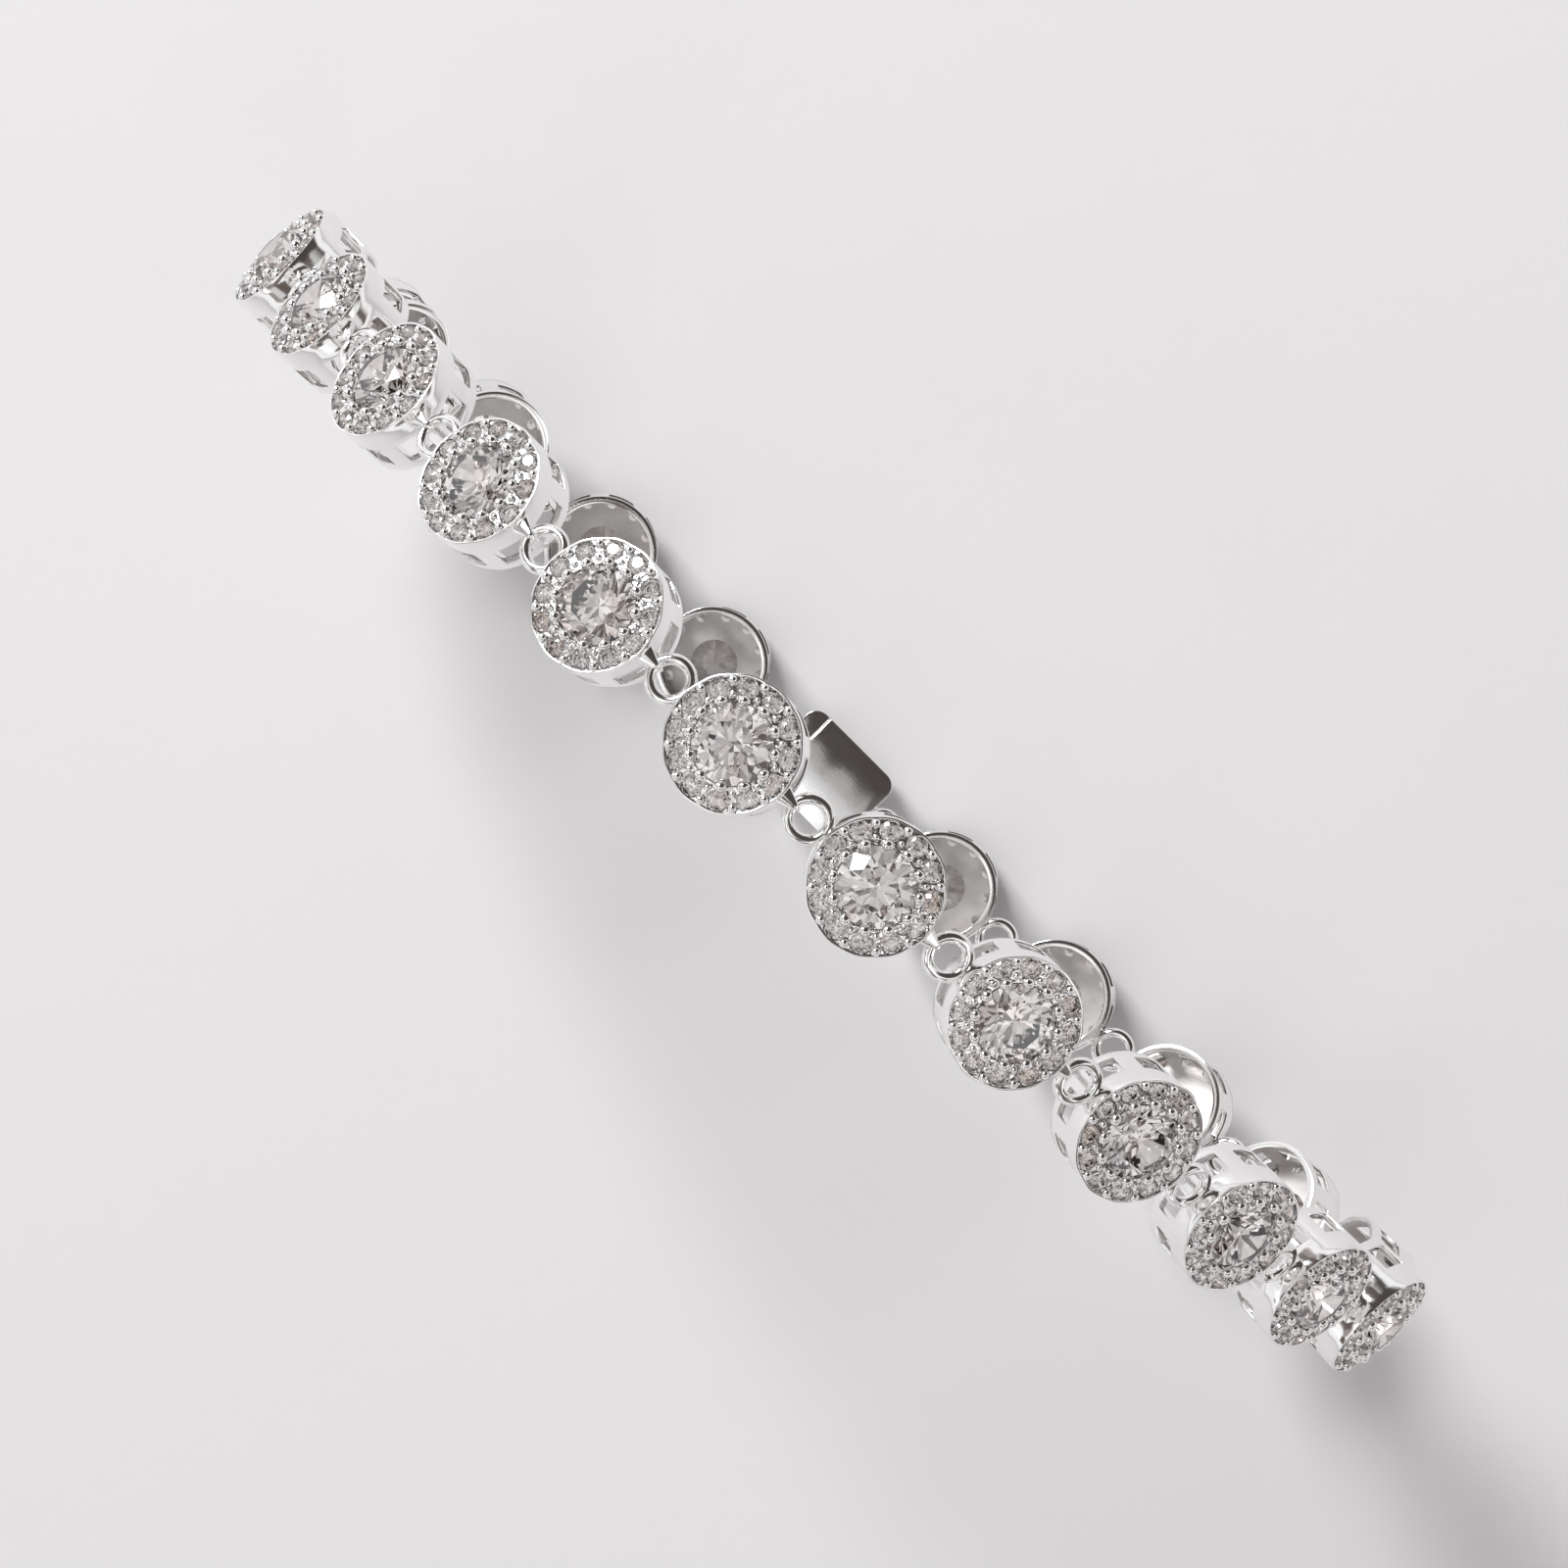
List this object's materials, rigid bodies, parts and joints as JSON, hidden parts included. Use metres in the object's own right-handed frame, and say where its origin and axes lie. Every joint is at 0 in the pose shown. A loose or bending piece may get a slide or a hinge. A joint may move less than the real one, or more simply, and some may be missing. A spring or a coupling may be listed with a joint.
{
  "type": "tennis bracelet",
  "caption": "Silver bracelet of round halo settings, each with a brilliant in a seat ringed by small stones, joined ring to tongue in a closed loop with a plain box clasp.",
  "frame": {"origin": "where the crest of the loop rests, on the inner side between the two topmost settings", "axes": "+Z out of the loop at the crest, +X along the crest from ring side to tongue side, +Y across the bracelet"},
  "size_m": [0.0758, 0.0072, 0.0489],
  "materials": {
    "polished_silver": "bright polished",
    "zirconia": "polished facets"
  },
  "bodies": {
    "root": {"link_01": "polished_silver", "link_02": "polished_silver", "link_03": "polished_silver", "link_04": "polished_silver", "link_05": "polished_silver", "link_06": "polished_silver", "link_07": "polished_silver", "link_08": "polished_silver", "link_09": "polished_silver", "link_10": "polished_silver", "link_11": "polished_silver", "link_12": "polished_silver", "link_13": "polished_silver", "link_14": "polished_silver", "link_15": "polished_silver", "link_16": "polished_silver", "link_17": "polished_silver", "link_18": "polished_silver", "link_19": "polished_silver", "link_20": "polished_silver", "link_21": "polished_silver", "link_22": "polished_silver", "centre_stone_01": "zirconia", "centre_stone_02": "zirconia", "centre_stone_03": "zirconia", "centre_stone_04": "zirconia", "centre_stone_05": "zirconia", "centre_stone_06": "zirconia", "centre_stone_07": "zirconia", "centre_stone_08": "zirconia", "centre_stone_09": "zirconia", "centre_stone_10": "zirconia", "centre_stone_11": "zirconia", "centre_stone_12": "zirconia", "centre_stone_13": "zirconia", "centre_stone_14": "zirconia", "centre_stone_15": "zirconia", "centre_stone_16": "zirconia", "centre_stone_17": "zirconia", "centre_stone_18": "zirconia", "centre_stone_19": "zirconia", "centre_stone_20": "zirconia", "centre_stone_21": "zirconia", "centre_stone_22": "zirconia", "clasp": "polished_silver"}
  },
  "joints": []
}
